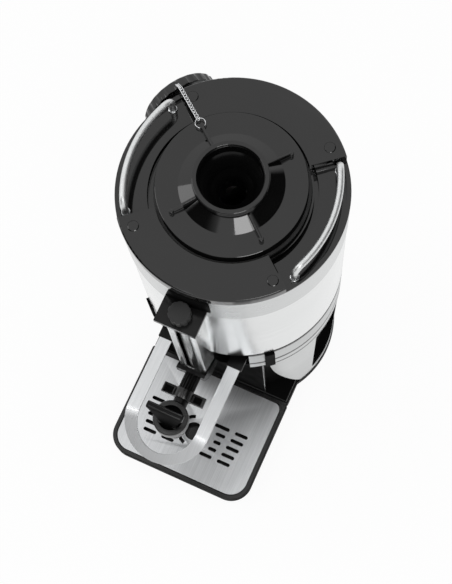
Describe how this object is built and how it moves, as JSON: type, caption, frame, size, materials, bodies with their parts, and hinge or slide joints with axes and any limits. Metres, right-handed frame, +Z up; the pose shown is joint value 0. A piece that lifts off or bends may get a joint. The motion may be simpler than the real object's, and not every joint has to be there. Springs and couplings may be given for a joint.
{
  "type": "insulated beverage dispenser",
  "caption": "Vacuum-insulated steel beverage server with brew-through lid, sight gauge and guarded lever faucet, on a stand with a drip tray.",
  "frame": {"origin": "on the body's axis at table level", "axes": "+Z up, the faucet side faces -Y, +X to the right seen from the front"},
  "size_m": [0.2436, 0.3718, 0.5315],
  "materials": {
    "black_plastic": "fine matte",
    "collar_plastic": "satin",
    "satin_steel": "satin",
    "polished_steel": "polished",
    "clear_glass": "clear",
    "seal_rubber": "matte"
  },
  "bodies": {
    "stand": {"stand_base": "black_plastic", "stand_skirt": "satin_steel", "stand_core": "black_plastic", "stand_front_panel": "black_plastic", "stand_band": "satin_steel", "stand_rim": "satin_steel", "stand_clips": "black_plastic"},
    "tray": {"drip_tray": "black_plastic"},
    "tray_cover": {"drip_tray_cover": "satin_steel"},
    "server": {"outer_shell": "polished_steel", "upper_band": "satin_steel", "inner_tank": "satin_steel", "bottom_housing": "black_plastic", "outlet_tube": "satin_steel", "collar": "collar_plastic", "collar_screws": "satin_steel", "screw_covers": "collar_plastic", "handle_left": "polished_steel", "handle_right": "polished_steel", "handle_ferrules": "polished_steel", "gauge_top_bracket": "collar_plastic", "gauge_shroud": "polished_steel", "gauge_glass": "clear_glass", "gauge_seals": "seal_rubber", "gauge_bottom_bracket": "black_plastic", "faucet_coupling": "black_plastic", "faucet_body": "black_plastic", "faucet_bonnet": "black_plastic", "lever_pin": "satin_steel", "faucet_spring": "satin_steel", "faucet_guard": "satin_steel", "guard_screws": "satin_steel"},
    "knob": {"gauge_knob": "collar_plastic"},
    "nut": {"wing_nut": "black_plastic"},
    "lever": {"faucet_lever": "black_plastic"},
    "valve": {"valve_stem": "satin_steel", "seat_cup": "seal_rubber"},
    "lid": {"lid": "collar_plastic", "lid_gasket": "seal_rubber", "lid_funnel": "black_plastic", "chain_ring": "polished_steel", "cap_chain": "polished_steel"},
    "cap": {"neck_cap": "collar_plastic"}
  },
  "joints": [
    {"name": "server_lift", "type": "slide", "parent": "stand", "child": "server", "axis": [0, 0, 1], "range_m": [0, 0.25]},
    {"name": "tray_pull", "type": "slide", "parent": "stand", "child": "tray", "axis": [0, -1, 0], "range_m": [0, 0.2]},
    {"name": "cover_lift", "type": "slide", "parent": "tray", "child": "tray_cover", "axis": [0, 0, 1], "range_m": [0, 0.1]},
    {"name": "knob_turn", "type": "hinge", "parent": "server", "child": "knob", "pos_m": [0, -0.1304, 0.457], "axis": [0, 0, 1], "continuous": true},
    {"name": "nut_turn", "type": "hinge", "parent": "server", "child": "nut", "pos_m": [0, -0.167, 0.222], "axis": [0, 1, 0], "continuous": true},
    {"name": "lever_pull", "type": "hinge", "parent": "server", "child": "lever", "pos_m": [0, -0.207, 0.239], "axis": [1, 0, 0], "range_deg": [0, 35], "stiffness_Nm_per_rad": 0.6, "springref_deg": -11.46},
    {"name": "stem_lift", "type": "slide", "parent": "server", "child": "valve", "axis": [0, 0, 1], "range_m": [0, 0.0055], "deforming": ["faucet_spring"]},
    {"name": "lid_lift", "type": "slide", "parent": "server", "child": "lid", "axis": [0, 0, 1], "range_m": [0, 0.15]},
    {"name": "cap_swing", "type": "hinge", "parent": "lid", "child": "cap", "pos_m": [-0.10079, 0.08308, 0.4915], "axis": [0.6361, 0.7716, 0], "range_deg": [0, 40]}
  ],
  "couplings": [
    {"joint": "stem_lift", "follows": "lever_pull", "m_per_rad": 0.0083}
  ]
}
